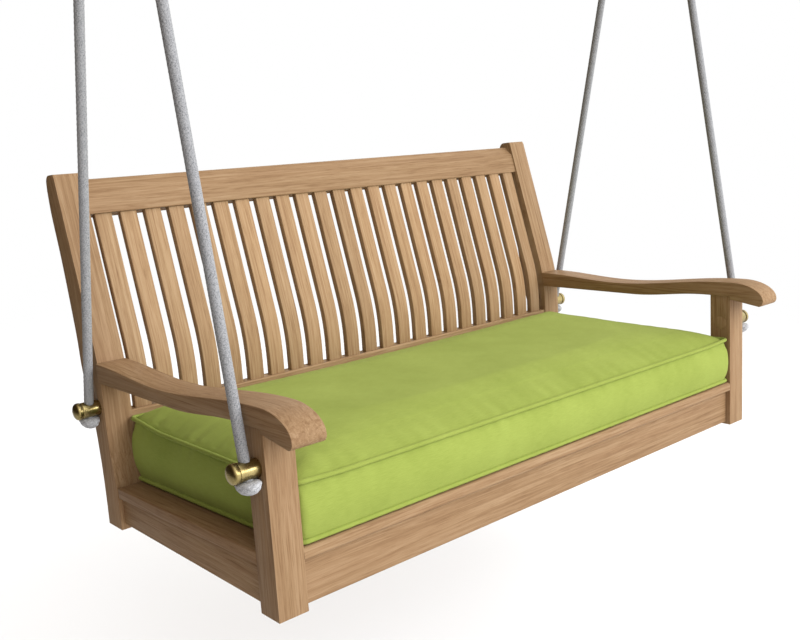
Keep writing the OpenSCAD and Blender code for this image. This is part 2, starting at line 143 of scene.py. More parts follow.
class Recipe:
    """A node material being built: add nodes by type, and link them by socket name."""

    def __init__(self, name):
        self.material = bpy.data.materials.new(name)
        self.material.use_nodes = True
        self.tree = self.material.node_tree
        self.tree.nodes.clear()
        self.shader = self.add("ShaderNodeBsdfPrincipled")
        out = self.add("ShaderNodeOutputMaterial")
        self.tree.links.new(self.shader.outputs[0], out.inputs["Surface"])

    def add(self, kind, inputs=None, **settings):
        """A node with some settings, and inputs given as values or as other nodes' outputs."""
        return add_node(self.tree, kind, inputs or {}, **settings)

    def set(self, key, value):
        """Gives the shader's own input a value or a link."""
        feed(self.tree, self.shader, key, value)

    def attribute(self, name, output="Vector"):
        """Something stored on the mesh under a name."""
        return self.add("ShaderNodeAttribute", attribute_name=name).outputs[output]

    def scaled(self, vector, scale):
        """A vector multiplied part by part."""
        return self.add("ShaderNodeVectorMath", {0: vector, 1: scale}, operation="MULTIPLY").outputs[0]

    def noise(self, vector, scale, detail=4.0, roughness=0.55, distortion=0.0):
        """Cloudy noise from 0 to 1."""
        inputs = {"Vector": vector, "Scale": scale, "Detail": detail, "Roughness": roughness}
        return self.add("ShaderNodeTexNoise", {**inputs, "Distortion": distortion}).outputs["Fac"]

    def ramp(self, value, stops):
        """A colour ramp through (position, colour) stops."""
        node = self.add("ShaderNodeValToRGB", {"Fac": value})
        band = node.color_ramp
        while len(band.elements) < len(stops):
            band.elements.new(0.5)
        for element, (position, colour) in zip(band.elements, stops):
            element.position = position
            element.color = (*colour, 1.0) if len(colour) == 3 else colour
        return node.outputs["Color"]

    def mix(self, amount, a, b, blend="MIX"):
        """Two colours mixed by an amount."""
        node = self.add("ShaderNodeMix", {"Factor": amount}, data_type="RGBA", blend_type=blend)
        for key, value in ((6, a), (7, b)):
            if isinstance(value, tuple) and len(value) == 3:
                value = (*value, 1.0)
            feed(self.tree, node, key, value)
        return node.outputs[2]

    def math(self, operation, a, b=0.0):
        """Two numbers put through an operation."""
        return self.add("ShaderNodeMath", {0: a, 1: b}, operation=operation).outputs[0]

    def range(self, value, low, high):
        """A value from 0 to 1 spread over low to high."""
        inputs = {"Value": value, "To Min": low, "To Max": high}
        return self.add("ShaderNodeMapRange", inputs).outputs["Result"]

    def bump(self, height, strength, distance):
        """Raises the surface by a height, in small relief."""
        node = self.add("ShaderNodeBump", {"Height": height, "Strength": strength, "Distance": distance})
        self.set("Normal", node.outputs["Normal"])


def grey(v):
    """A neutral colour of one brightness."""
    return (v, v, v)


# ---- Materials ----


def teak_material():
    """Oiled teak: soft figure drawn out along the grain, dark pores, and each board its own tone."""
    r = Recipe("oiled_teak")
    grain = r.attribute("grain")
    tone = r.attribute("tone", "Fac")
    broad = r.noise(r.scaled(grain, (1.6, 26.0, 26.0)), 1.0, 3.0, 0.55, 0.6)
    figure = r.noise(r.scaled(grain, (5.0, 175.0, 175.0)), 1.0, 6.0, 0.68, 0.9)
    pores = r.noise(r.scaled(grain, (26.0, 1150.0, 1150.0)), 1.0, 2.0, 0.5)
    wood = r.ramp(
        figure,
        [(0.29, (0.186, 0.102, 0.044)), (0.48, (0.312, 0.200, 0.103)), (0.68, (0.412, 0.288, 0.166))],
    )
    pinkish = r.mix(r.range(broad, 0.0, 0.40), wood, (0.360, 0.215, 0.124))
    board_tone = r.ramp(tone, [(0.0, (0.66, 0.60, 0.56)), (0.5, grey(0.96)), (1.0, (1.22, 1.20, 1.16))])
    toned = r.mix(1.0, pinkish, board_tone, "MULTIPLY")
    pore_mask = r.ramp(pores, [(0.30, grey(0.0)), (0.44, grey(1.0))])
    in_pores = r.ramp(pore_mask, [(0.0, (0.74, 0.68, 0.62)), (1.0, grey(1.0))])
    r.set("Base Color", r.mix(1.0, toned, in_pores, "MULTIPLY"))
    r.set("Roughness", r.range(figure, 0.62, 0.46))
    r.set("Specular IOR Level", 0.12)
    r.bump(r.math("ADD", r.math("MULTIPLY", pore_mask, 0.6), r.math("MULTIPLY", figure, 0.4)), 0.35, 0.0004)
    return r.material


def canvas_material(name, dark, light, thread):
    """Woven canvas: threads to the metre over and under along the cloth, with painted shade in the hollows
    of the weave and slow patches of tone.
    """
    r = Recipe(name)
    weave = r.attribute("weave")
    split = r.add("ShaderNodeSeparateXYZ", {0: weave})
    warp = r.math("SINE", r.math("MULTIPLY", split.outputs[0], thread * 2 * math.pi))
    weft = r.math("SINE", r.math("MULTIPLY", split.outputs[1], thread * 2 * math.pi))
    threads = r.math("MULTIPLY", warp, weft)
    place = r.add("ShaderNodeTexCoord").outputs["Object"]
    patches = r.noise(place, 9.0, 4.0, 0.6)
    slubs = r.noise(r.scaled(weave, (60.0, 900.0, 1.0)), 1.0, 2.0, 0.5)
    tone = r.math("ADD", r.math("MULTIPLY", patches, 0.55), r.math("MULTIPLY", slubs, 0.45))
    base = r.ramp(tone, [(0.30, dark), (0.70, light)])
    # painted shade: the colour darkens in the weave's hollows and lightens on the raised threads, in step
    # with the bump
    shade = r.ramp(r.range(threads, 0.0, 1.0), [(0.0, grey(0.86)), (1.0, grey(1.06))])
    r.set("Base Color", r.mix(1.0, base, shade, "MULTIPLY"))
    r.set("Roughness", 0.92)
    r.set("Specular IOR Level", 0.06)
    r.set("Sheen Weight", 0.12)
    r.set("Sheen Roughness", 0.5)
    r.set("Sheen Tint", (0.85, 0.95, 0.45, 1.0))
    r.bump(r.math("ADD", threads, r.math("MULTIPLY", slubs, 0.8)), 0.25, 0.0003)
    return r.material


def rope_material(name, gain):
    """Pale braided rope with grey flecks and painted shade in the hollows of the braid; gain lightens it
    all.
    """
    r = Recipe(name)
    place = r.add("ShaderNodeTexCoord").outputs["Object"]
    strand = r.attribute("strand", "Fac")
    fleck = r.noise(place, 700.0, 2.0, 0.6)
    shades = [(0.34, (0.12, 0.125, 0.14)), (0.46, (0.262, 0.268, 0.282)), (0.60, (0.335, 0.34, 0.355))]
    yarn = r.ramp(fleck, [(stop, tuple(gain * c for c in colour)) for stop, colour in shades])
    # painted shade: the yarn colour darkens where the braid sinks into its hollows
    painted_strand_shade = r.ramp(strand, [(0.0, grey(0.62)), (0.6, grey(1.0))])
    r.set("Base Color", r.mix(1.0, yarn, painted_strand_shade, "MULTIPLY"))
    r.set("Roughness", 0.75)
    r.set("Specular IOR Level", 0.25)
    r.set("Sheen Weight", 0.15)
    r.bump(r.noise(place, 1500.0, 2.0), 0.3, 0.0004)
    return r.material


def metal_material(name, low, high, rough_low, rough_high):
    """Handled metal: fine turning lines, cloudy tarnish and small rubs in the polish."""
    r = Recipe(name)
    place = r.add("ShaderNodeTexCoord").outputs["Object"]
    cloud = r.noise(place, 90.0, 4.0, 0.6)
    lines = r.noise(r.scaled(place, (2600.0, 60.0, 60.0)), 1.0, 2.0)
    r.set("Base Color", r.ramp(cloud, [(0.3, low), (0.7, high)]))
    r.set("Metallic", 1.0)
    r.set("Roughness", r.range(cloud, rough_high, rough_low))
    r.bump(lines, 0.12, 0.0002)
    return r.material


TEAK = teak_material()
CANVAS = canvas_material("lime_canvas", (0.240, 0.300, 0.056), (0.326, 0.394, 0.088), 620.0)
PIPING = canvas_material("lime_piping", (0.236, 0.296, 0.054), (0.318, 0.384, 0.085), 900.0)
ROPE = rope_material("braided_rope", 1.0)
# The knots are the same rope as the lines, but this lighter copy paints light onto them.
LIT_KNOT_ROPE = rope_material("knotted_rope_painted_light", 1.6)
BRASS = metal_material("turned_brass", (0.25, 0.195, 0.075), (0.43, 0.345, 0.155), 0.20, 0.36)
ZINC = metal_material("zinc_plate", (0.42, 0.43, 0.45), (0.62, 0.62, 0.64), 0.28, 0.45)

# ---- Camera ----

CAMERA_PLACE = (-1.2614, -1.3374, -0.3544)
CAMERA_TURN = (math.radians(75.398), 0.0, math.radians(-41.232))
LENS = 43.157
SENSOR = 36.0


def place_camera():
    """A camera off the front left corner, looking a little down at the bench."""
    camera = bpy.data.objects.new("view", bpy.data.cameras.new("view"))
    bpy.context.scene.collection.objects.link(camera)
    camera.location = CAMERA_PLACE
    camera.rotation_euler = CAMERA_TURN
    camera.data.lens = LENS
    camera.data.sensor_width = SENSOR
    bpy.context.scene.camera = camera


place_camera()

# ---- Ropes ----

ROPE_X = 0.627
ROPE_R = 0.008
EYE_R = 0.0325
EYE_RINGS = 150
SPLICE_START = EYE_R + 0.002
SPLICE_END = 0.105
SPLICE_RINGS = 90
FRONT_ROUTE = [[-0.3014, -0.8908], [-0.278, -0.799], [-0.258, -0.721], [-0.238, -0.643], [-0.218, -0.565],
               [-0.198, -0.487], [-0.178, -0.409], [-0.158, -0.331], [-0.138, -0.253], [-0.118, -0.175]]
REAR_ROUTE = [[0.2133, -0.942], [0.200, -0.849], [0.189, -0.770], [0.178, -0.691], [0.167, -0.612],
              [0.156, -0.533], [0.145, -0.454], [0.134, -0.375], [0.123, -0.296], [0.112, -0.217],
              [0.1065, -0.179]]
FRONT_PIN = [-0.298, -0.877]
REAR_PIN = [0.211, -0.928]
FRONT_EYE = [-0.092, -0.073]
REAR_EYE = [0.092, -0.075]
ROPE_STEP = 0.0016
EYE_ROPE_R = ROPE_R - 0.0003
SPLICE_WIDE = 0.0122
SPLICE_NARROW = ROPE_R + 0.0012
KNOT_TOP = 0.0144
KNOT_DEEP = 0.0186
KNOT_R = 0.0164
KNOT_RINGS = 48
KNOT_STRETCH = 1.42
STRANDS = 8
STRAND_PITCH = 0.0085
RIDGE_LOW = 0.62
RIDGE_RISE = 1 - RIDGE_LOW
BRAID_LEVEL = 0.75


def smooth_path(points, step):
    """The points joined by a line that is read off every step of its own length."""
    p = np.asarray(points, float)
    s = np.concatenate([[0], np.cumsum(np.linalg.norm(np.diff(p, axis=0), axis=1))])
    at = np.linspace(0, s[-1], max(int(s[-1] / step) + 1, 4))
    return np.stack([np.interp(at, s, p[:, k]) for k in range(3)], -1)


def braid(angle, along):
    """Height from 0 to 1 of two families of strands that wind opposite ways, each a rounded ridge.

    They take turns on top, as the squares of a chessboard do.
    """
    u = STRANDS * angle / (2 * math.pi) + along / STRAND_PITCH
    w = STRANDS * angle / (2 * math.pi) - along / STRAND_PITCH
    over = (np.floor(u) + np.floor(w)) % 2
    wave_u, wave_w = np.sin(math.pi * (u % 1)), np.sin(math.pi * (w % 1))
    ridge_u = wave_u ** 0.5 * (RIDGE_LOW + RIDGE_RISE * wave_w)
    ridge_w = wave_w ** 0.5 * (RIDGE_LOW + RIDGE_RISE * wave_u)
    return np.where(over == 1, ridge_u, ridge_w)


def rope_tube(name, path, upright, radius, body, material=ROPE, stretch=1.0, around=40,
              relief=0.0007):
    """Rings carried along a path, with the radius given for each, stretched one way and braided."""
    s = np.concatenate([[0], np.cumsum(np.linalg.norm(np.diff(path, axis=0), axis=1))])
    ahead = np.gradient(path, axis=0)
    ahead /= np.linalg.norm(ahead, axis=1, keepdims=True)
    a = np.cross(np.broadcast_to(upright, path.shape), ahead)
    a /= np.linalg.norm(a, axis=1, keepdims=True)
    b = np.cross(ahead, a)
    turn = np.arange(around) * 2 * math.pi / around
    angle, along = np.meshgrid(turn, s)
    lay = braid(angle, along)
    r = (np.broadcast_to(radius, s.shape)[:, None] + relief * (lay - BRAID_LEVEL))[..., None]
    cos, sin = np.cos(angle)[..., None], np.sin(angle)[..., None]
    rings = path[:, None] + r * (stretch * cos * a[:, None] + sin * b[:, None])
    n = len(path) * around
    vertices = np.concatenate([rings.reshape(-1, 3), path[:1], path[-1:]])
    k = np.arange(around)
    fans = [np.column_stack([np.full(around, n), (k + 1) % around, k]),
            np.column_stack([np.full(around, n + 1), n - around + k, n - around + (k + 1) % around])]
    mesh = bpy.data.meshes.new(name)
    quads = grid_faces(len(path), around)
    mesh.from_pydata(vertices, [], quads.tolist() + fans[0].tolist() + fans[1].tolist())
    set_attribute(mesh, "strand", "FLOAT", np.concatenate([lay.ravel(), [0.5, 0.5]]))
    return finish_object(name, mesh, material, body, sharp=math.radians(80))


def round_eye(centre, lean):
    """Centreline of a rope eye in the plane of the rope: a full ring about its centre."""
    a = np.linspace(-math.pi / 2, 1.5 * math.pi, EYE_RINGS)
    y, z = EYE_R * np.cos(a), EYE_R * np.sin(a)
    c, s = math.cos(lean), math.sin(lean)
    return np.stack([np.full(a.shape, centre[0]), centre[1] + c * y + s * z, centre[2] - s * y + c * z], -1)


def down_line(top, lean, start, end, count):
    """Points straight down a leaning rope's own line, from start to end below its top."""
    t = np.linspace(start, end, count)
    c, s = math.cos(lean), math.sin(lean)
    return np.stack([np.full(t.shape, top[0]), top[1] - s * t, top[2] - c * t], -1)


def knot_swell():
    """Half widths down the knot: the lesser of a straight shoulder and an ellipse that stays open."""
    t = np.linspace(0, 1, KNOT_RINGS)
    return KNOT_R * np.minimum(0.80 + 1.6 * t, np.sqrt(np.maximum(1 - ((t - 0.20) / 0.86) ** 2, 0.05)))


def hang_ropes():
    """The four ropes with their eyes, splices and stopper knots."""
    across = np.array([1.0, 0.0, 0.0])
    lines = [("front", FRONT_ROUTE, FRONT_PIN, FRONT_EYE), ("rear", REAR_ROUTE, REAR_PIN, REAR_EYE)]
    for end, route, pin, eye in lines:
        lean = math.atan2(eye[0] - pin[0], eye[1] - pin[1])
        body = end + "_ropes"
        for side_name, side in (("left", -1), ("right", 1)):
            x = side * ROPE_X
            points = [[x, y, z] for y, z in route]
            path = smooth_path(points, ROPE_STEP)
            label = f"{end}_{side_name}"
            rope = rope_tube("rope_line_" + label, path, across, ROPE_R, body)
            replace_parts(rope, "rope_" + label)
            ring = rope_tube("rope_eye_" + label, round_eye([x, *eye], lean), across, EYE_ROPE_R, body)
            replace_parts(ring, "rope_eyes_" + end)
            line = down_line([x, *eye], lean, SPLICE_START, SPLICE_END, SPLICE_RINGS)
            t = np.linspace(0, 1, len(line))
            taper = SPLICE_WIDE * (1 - t) ** 0.8 + SPLICE_NARROW * (1 - (1 - t) ** 0.8)
            wrap = rope_tube("rope_splice_" + label, line, across, taper, body)
            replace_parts(wrap, "rope_eyes_" + end)
            lump = down_line([x, *pin], lean, KNOT_TOP, KNOT_TOP + KNOT_DEEP, KNOT_RINGS)
            knot = rope_tube("rope_knot_" + label, lump, across, knot_swell(), body, LIT_KNOT_ROPE,
                             stretch=KNOT_STRETCH, around=64, relief=0.0012)
            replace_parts(knot, "rope_knots_" + end)


hang_ropes()

# ---- Teak boards ----

EASE = 0.0022
GRAIN_SHIFT = 3
TONE_SHIFT = 0.14


def grain_along_x(p):
    """Grain along the bench: length, depth, height."""
    return p


def grain_along_y(p):
    """Grain from front to back: depth, length, height."""
    return p[:, [1, 0, 2]]


def grain_up(p):
    """Grain straight up: height, length, depth."""
    return p[:, [2, 0, 1]]


def grain_up_back(p):
    """Up the curve of the back: height, width, then depth behind the curved face."""
    return np.stack([p[:, 2], p[:, 0], p[:, 1] - back_face_y(p[:, 2])], -1)


def worked_mesh(node, name, radius, long_edges=0.0):
    """A node's own mesh with its flat faces rejoined and its outer edges rounded."""
    shape = bmesh.new()
    shape.from_mesh(NODES[node].data)
    bmesh.ops.remove_doubles(shape, verts=shape.verts, dist=2e-6)
    bmesh.ops.dissolve_limit(shape, angle_limit=math.radians(0.4), verts=shape.verts, edges=shape.edges)
    edges = [e for e in shape.edges if len(e.link_faces) == 2 and e.is_convex
             and e.calc_face_angle() > math.radians(28) and e.calc_length() > long_edges]
    bmesh.ops.bevel(shape, geom=edges, offset=radius, offset_type="OFFSET", segments=3, profile=0.5,
                    affect="EDGES", clamp_overlap=True)
    mesh = bpy.data.meshes.new(name)
    shape.to_mesh(mesh)
    shape.free()
    return mesh


def eased_board(node, grain, tone, seed, radius=EASE, long_edges=0.0):
    """A board worked from its CAD node, with its grain direction and its own tone stored on it."""
    mesh = worked_mesh(node, node + "_board", radius, long_edges)
    rng = np.random.default_rng(seed)
    p = grain(unhang(vertex_array(mesh)))
    set_attribute(mesh, "grain", "FLOAT_VECTOR", p + rng.uniform(-GRAIN_SHIFT, GRAIN_SHIFT, 3))
    own_tone = tone + rng.uniform(-TONE_SHIFT, TONE_SHIFT)
    set_attribute(mesh, "tone", "FLOAT", np.full(len(p), own_tone))
    board = finish_object(mesh.name, mesh, TEAK, "bench", sharp=math.radians(40))
    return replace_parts(board, node)


def build_boards():
    """Every teak piece of the bench, with its grain, tone and the radius of its worn edges."""
    pairs = [("front_leg", grain_up, 0.44, 0.0030), ("rear_leg", grain_up_back, 0.37, 0.0030),
             ("arm", grain_along_y, 0.42, 0.0060), ("side_rail", grain_along_y, 0.34, EASE),
             ("seat_end_board", grain_along_y, 0.26, EASE)]
    seed = 10
    for stem, grain, tone, radius in pairs:
        for side in ("left", "right"):
            seed += 1
            eased_board(f"{stem}_{side}", grain, tone, seed, radius)
    singles = [("front_apron", 0.40, EASE), ("rear_apron", 0.45, EASE), ("front_seat_board", 0.46, 0.0050),
               ("seat_slats", 0.45, 0.0030), ("top_rail", 0.32, EASE), ("bottom_rail", 0.55, EASE)]
    for node, tone, radius in singles:
        seed += 1
        eased_board(node, grain_along_x, tone, seed, radius, long_edges=0.3)
    for node in ("seat_cleats", "seat_bearers"):
        seed += 1
        eased_board(node, grain_along_y, 0.4, seed, EASE, long_edges=0.2)
    slats = sorted((n for n in NODES if n.startswith("back_slat_")), key=lambda n: int(n.split("_")[-1]))
    for node in slats:
        seed += 1
        eased_board(node, grain_up_back, 0.58, seed, 0.0018)
    for node in ("joint_pegs", "pin_plugs"):
        seed += 1
        eased_board(node, grain_up, 0.3, seed, 0.0004)


build_boards()

# ---- Metal fittings ----


def fit_metal(node, body, material, radius):
    """A metal fitting worked from its CAD node, its turned edges kept crisp."""
    mesh = worked_mesh(node, node + "_metal", radius)
    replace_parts(finish_object(mesh.name, mesh, material, body, sharp=math.radians(35)), node)


def fit_all_metal():
    """The brass on the ropes and in the seat, and the steel hooks."""
    for end in ("front", "rear"):
        fit_metal("rope_pins_" + end, end + "_ropes", BRASS, 0.0006)
        for stem in ("pin_nuts_", "thimbles_"):
            fit_metal(stem + end, end + "_ropes", BRASS, 0.0003)
    fit_metal("seat_screws", "bench", BRASS, 0.0002)
    fit_metal("ceiling_hooks", "hooks", ZINC, 0.0003)


fit_all_metal()

# ---- Cushion ----

CUSHION_HALF = np.array([0.5592, 0.25175])
CUSHION_MID = np.array([0.0, -0.04825])
CUSHION_SEAM = 0.184
SEAM_RISE = 0.006
SEAM_RISE_Y = (0.08, 0.19)
SEAM_INSET = 0.004
CORNER_LIFT = 0.003
CORNER_SPREAD = 0.05
CORNER_R = 0.010
CROWN_FRONT = 0.029
CROWN_RISE = 0.007
CROWN_RISE_Y = (-0.28, 0.12)
CROWN_REACH = 0.12
CROWN_POWER = 3.4
BAND_SWELL = 0.011
END_BULGE = 0.0060
BULGE_RUN = 0.06
END_PLAY = 0.0005
LEG_BACK_Y = -0.262
BACK_STOP_Y = 0.2042
FLOOR_PLAY = 0.0008
FLOOR_INSETS = (0.24, 0.20, 0.15, 0.10, 0.05, 0.02)
BAND_HEIGHTS = (0.0, 0.12, 0.3, 0.5, 0.7, 0.88, 1.0)
CROWN_INSETS = (0.009, 0.016, 0.026, 0.04, 0.06, 0.09, 0.12, 0.16, 0.20, 0.24)
SHELL_COUNT = 360
HELD_FLOOR = 0.004
HELD_SEAM = 0.006
HELD_EDGE = 0.010
SWELL_FRAMES = 20
SWELL_ROOM = 2.0
SWELL_ROUNDS = 16
SWELL_LIMIT = 0.010
SIDE_PUCKER = 0.00045
SIDE_PUCKER_SPREAD = 0.018
SIDE_PUCKER_REACH = 0.03
TOP_PUCKER = 0.0004
TOP_PUCKER_REACH = 0.05
PIPING_R = 0.0038
PIPING_INSET = 0.0012
PIPING_RISE = 0.001


def eased(value, start, end):
    """A smooth step from 0 at start to 1 at end."""
    t = np.clip((value - start) / (end - start), 0, 1)
    return t * t * (3 - 2 * t)


def end_bulge(y):
    """How far the ends stand out past the front legs' inner faces, behind those legs."""
    return END_BULGE * eased(y, LEG_BACK_Y, LEG_BACK_Y + BULGE_RUN)


def edge_gaps(xy):
    """How far points lie inside the cushion's ends, and inside its front and rear."""
    squared = np.abs(xy[:, 0]) / (1 + end_bulge(xy[:, 1]) / CUSHION_HALF[0])
    return CUSHION_HALF[0] - squared, CUSHION_HALF[1] - np.abs(xy[:, 1] - CUSHION_MID[1])


def seam_height(xy):
    """Height of the top seam, riding up a little at the rear and at the corners."""
    lift = CORNER_LIFT * np.exp(-(np.hypot(*edge_gaps(xy)) / CORNER_SPREAD) ** 2)
    return CUSHION_SEAM + lift + SEAM_RISE * eased(xy[:, 1], *SEAM_RISE_Y)


def cushion_floor(y):
    """Height of the seat boards under the cushion, with a hair of room."""
    return SEAT_H + FLOOR_PLAY - (y - FRONT_Y) * SEAT_FALL


def kept_clear(points):
    """Cushion points held off the seat, the legs and the back."""
    reach = CUSHION_HALF[0] + END_PLAY + SWELL_ROOM * end_bulge(points[:, 1])
    points[:, 0] = np.clip(points[:, 0], -reach, reach)
    points[:, 1] = np.minimum(points[:, 1], BACK_STOP_Y)
    points[:, 2] = np.maximum(points[:, 2], cushion_floor(points[:, 1]))
    return points


def outline(inset, count):
    """Loop round the cushion, pulled in by inset, and the length run along it to each point.

    Straight sides joined by quarter circles, with the ends standing out behind the legs.
    """
    half_x, half_y = CUSHION_HALF - inset
    r = min(CORNER_R, 0.8 * half_y)
    straight = 2 * (np.array([half_y, half_x, half_y, half_x]) - r)
    lengths = np.column_stack([straight, np.full(4, math.pi * r / 2)]).ravel()
    marks = np.concatenate([[0], np.cumsum(lengths)])
    s = np.arange(count) / count * marks[-1]
    piece = np.clip(np.searchsorted(marks, s, side="right") - 1, 0, 7)
    t = s - marks[piece]
    side = piece // 2
    turn = side * math.pi / 2
    corner = np.array([[half_x, -half_y], [half_x, half_y], [-half_x, half_y], [-half_x, -half_y]])
    outward = np.stack([np.cos(turn), np.sin(turn)], -1)
    along = np.stack([-np.sin(turn), np.cos(turn)], -1)
    line = corner[side] + along * (r + t)[:, None]
    centre = corner[(side + 1) % 4] - r * outward - r * along
    bend = (t / r)[:, None]
    arc = centre + r * (outward * np.cos(bend) + along * np.sin(bend))
    xy = np.where((piece % 2 == 0)[:, None], line, arc) + CUSHION_MID
    xy[:, 0] *= 1 + end_bulge(xy[:, 1]) / CUSHION_HALF[0]
    return xy, s


def cushion_shell():
    """Closed form, ring by ring: the floor, side bands that swell as half a sine wave, and the top.

    The top climbs from its seam as one less a falling power of how far in the ring lies.
    """
    rings = [(inset, 0.0) for inset in FLOOR_INSETS]
    rings += [(SEAM_INSET - BAND_SWELL * math.sin(math.pi * t), t) for t in BAND_HEIGHTS]
    rings += [(inset, 1.0) for inset in CROWN_INSETS]
    layers = []
    for inset, t in rings:
        xy, _ = outline(inset, SHELL_COUNT)
        low = cushion_floor(xy[:, 1])
        z = low + t * (seam_height(xy) - low)
        if t == 1.0:
            crown = CROWN_FRONT + CROWN_RISE * eased(xy[:, 1], *CROWN_RISE_Y)
            z += crown * (1 - (1 - min(max(inset - SEAM_INSET, 0) / CROWN_REACH, 1)) ** CROWN_POWER)
        layers.append(kept_clear(np.column_stack([xy, z])))
    points = np.concatenate(layers)
    faces = grid_faces(len(layers), SHELL_COUNT).tolist()
    last = (len(layers) - 1) * SHELL_COUNT
    faces.append(list(range(SHELL_COUNT))[::-1])
    faces.append([last + k for k in range(SHELL_COUNT)])
    mesh = bpy.data.meshes.new("cushion_shell")
    mesh.from_pydata(points, [], faces)
    return mesh


def apply_modifiers(thing):
    """The object's mesh as its modifiers leave it."""
    graph = bpy.context.evaluated_depsgraph_get()
    mesh = bpy.data.meshes.new_from_object(thing.evaluated_get(graph))
    thing.modifiers.clear()
    thing.data = mesh
    return mesh


def smoothed(mesh, values, rounds):
    """Per-vertex vectors averaged with their neighbours' a number of times."""
    ends = np.empty(len(mesh.edges) * 2, np.int32)
    mesh.edges.foreach_get("vertices", ends)
    ends = ends.reshape(-1, 2)
    a, b = ends[:, 0], ends[:, 1]
    count = len(values)
    around = np.bincount(ends.ravel(), minlength=count)[:, None]
    for _ in range(rounds):
        total = np.stack([np.bincount(a, values[b, k], count) + np.bincount(b, values[a, k], count)
                          for k in range(3)], -1)
        values = 0.5 * values + 0.5 * total / np.maximum(around, 1)
    return values


def hold_seams(thing, before):
    """A vertex group that holds the cushion's floor, and its top seam nearly as firmly."""
    held = thing.vertex_groups.new(name="held")
    on_floor = before[:, 2] - cushion_floor(before[:, 1]) < HELD_FLOOR
    held.add(np.nonzero(on_floor)[0].tolist(), 1.0, "REPLACE")
    at_edge = np.minimum(*edge_gaps(before[:, :2])) < HELD_EDGE
    at_seam = at_edge & (np.abs(before[:, 2] - seam_height(before[:, :2])) < HELD_SEAM)
    held.add(np.nonzero(at_seam)[0].tolist(), 0.9, "REPLACE")
    return held.name


def swell(thing):
    """Blows the cushion up as cloth under pressure, and caps how far each point moves."""
    mesh = thing.data
    before = vertex_array(mesh)
    held = hold_seams(thing, before)
    cloth = thing.modifiers.new("cloth", "CLOTH")
    settings = cloth.settings
    settings.quality = 6
    settings.mass = 0.3
    settings.use_pressure = True
    settings.uniform_pressure_force = 4.0
    settings.tension_stiffness = settings.compression_stiffness = 18
    settings.shear_stiffness = 8
    settings.bending_stiffness = 0.8
    settings.vertex_group_mass = held
    settings.effector_weights.gravity = 0
    scene = bpy.context.scene
    for number in range(1, SWELL_FRAMES + 1):
        scene.frame_set(number)
    graph = bpy.context.evaluated_depsgraph_get()
    swollen = thing.evaluated_get(graph).to_mesh()
    after = vertex_array(swollen)
    thing.evaluated_get(graph).to_mesh_clear()
    thing.modifiers.clear()
    scene.frame_set(1)
    move = smoothed(mesh, after - before, SWELL_ROUNDS)
    length = np.linalg.norm(move, axis=1, keepdims=True)
    move *= np.minimum(1, SWELL_LIMIT / np.maximum(length, 1e-9))
    mesh.vertices.foreach_set("co", kept_clear(before + move).ravel())
    mesh.update()


def cushion_body():
    """The shell with an even mesh, swollen and then made finer."""
    thing = bpy.data.objects.new("seat_cushion", cushion_shell())
    bpy.context.scene.collection.objects.link(thing)
    remesh = thing.modifiers.new("even", "REMESH")
    remesh.mode = "VOXEL"
    remesh.voxel_size = 0.007
    apply_modifiers(thing)
    swell(thing)
    finer = thing.modifiers.new("finer", "SUBSURF")
    finer.levels = finer.render_levels = 1
    mesh = apply_modifiers(thing)
    bpy.data.objects.remove(thing)
    return mesh


def puckered(p):
    """Points drawn in and out near the top seam by a sum of sine waves that run along the edge."""
    end_gap, side_gap = edge_gaps(p[:, :2])
    edge = np.minimum(end_gap, side_gap)
    at_end = end_gap < side_gap
    rng = np.random.default_rng(7)
    across = np.where(at_end, p[:, 1], p[:, 0])
    waves = zip(rng.uniform(60, 210, 7), rng.uniform(0, 6, 7))
    ripple = sum(math.sin(1.0 + k) * np.sin(across * f + start) for k, (f, start) in enumerate(waves))
    seam = seam_height(p[:, :2])
    near_seam = np.exp(-((p[:, 2] - seam) / SIDE_PUCKER_SPREAD) ** 2)
    near_seam *= np.exp(-np.maximum(edge, 0) / SIDE_PUCKER_REACH)
    away = np.sign(p[:, :2] - CUSHION_MID)
    outward = np.where(at_end[:, None], away * (1, 0), away * (0, 1))
    p[:, :2] += outward * (SIDE_PUCKER * ripple * near_seam)[:, None]
    on_top = (p[:, 2] > seam + 0.001) & (edge > 0.012)
    p[:, 2] += np.where(on_top, TOP_PUCKER * ripple * np.exp(-edge / TOP_PUCKER_REACH), 0)
    return p


def cloth_directions(mesh, p):
    """The two directions of the weave at each point, flat on whichever face of a box it is nearest."""
    normals = np.empty(len(mesh.vertices) * 3, np.float32)
    mesh.vertex_normals.foreach_get("vector", normals)
    n = np.abs(normals.reshape(-1, 3))
    flat = n[:, 2] >= np.maximum(n[:, 0], n[:, 1])
    end = n[:, 0] > n[:, 1]
    on_sides = np.where(end[:, None], p[:, 1:], p[:, [0, 2]])
    weave = np.where(flat[:, None], p[:, :2], on_sides)
    return np.column_stack([weave, np.zeros(len(p))])


def piping(name, height):
    """A circle carried round the cushion's outline at a height given by the place, a little uneven."""
    count, around = 900, 12
    xy, s = outline(PIPING_INSET, count)
    path = np.column_stack([xy, height(xy)])
    ahead = np.roll(path, -1, 0) - np.roll(path, 1, 0)
    ahead /= np.linalg.norm(ahead, axis=1, keepdims=True)
    out = np.cross(ahead, np.array([0.0, 0.0, 1.0]))
    up = np.cross(out, ahead)
    turn = np.arange(around) * 2 * math.pi / around
    wobble = 1 + 0.04 * np.sin(s * 230) * np.sin(s * 31)
    cos, sin = np.cos(turn)[None, :, None], np.sin(turn)[None, :, None]
    rings = path[:, None] + (PIPING_R * wobble)[:, None, None] * (cos * out[:, None] + sin * up[:, None])
    faces = grid_faces(count + 1, around)
    faces = np.where(faces >= count * around, faces - count * around, faces)
    points = hang(rings.reshape(-1, 3))
    mesh = bpy.data.meshes.new(name)
    mesh.from_pydata(points, [], faces.tolist())
    weave = np.stack([np.repeat(s, around), np.tile(turn * PIPING_R, count), np.zeros(count * around)], -1)
    set_attribute(mesh, "weave", "FLOAT_VECTOR", weave)
    return finish_object(name, mesh, PIPING, "cushion", sharp=math.pi)


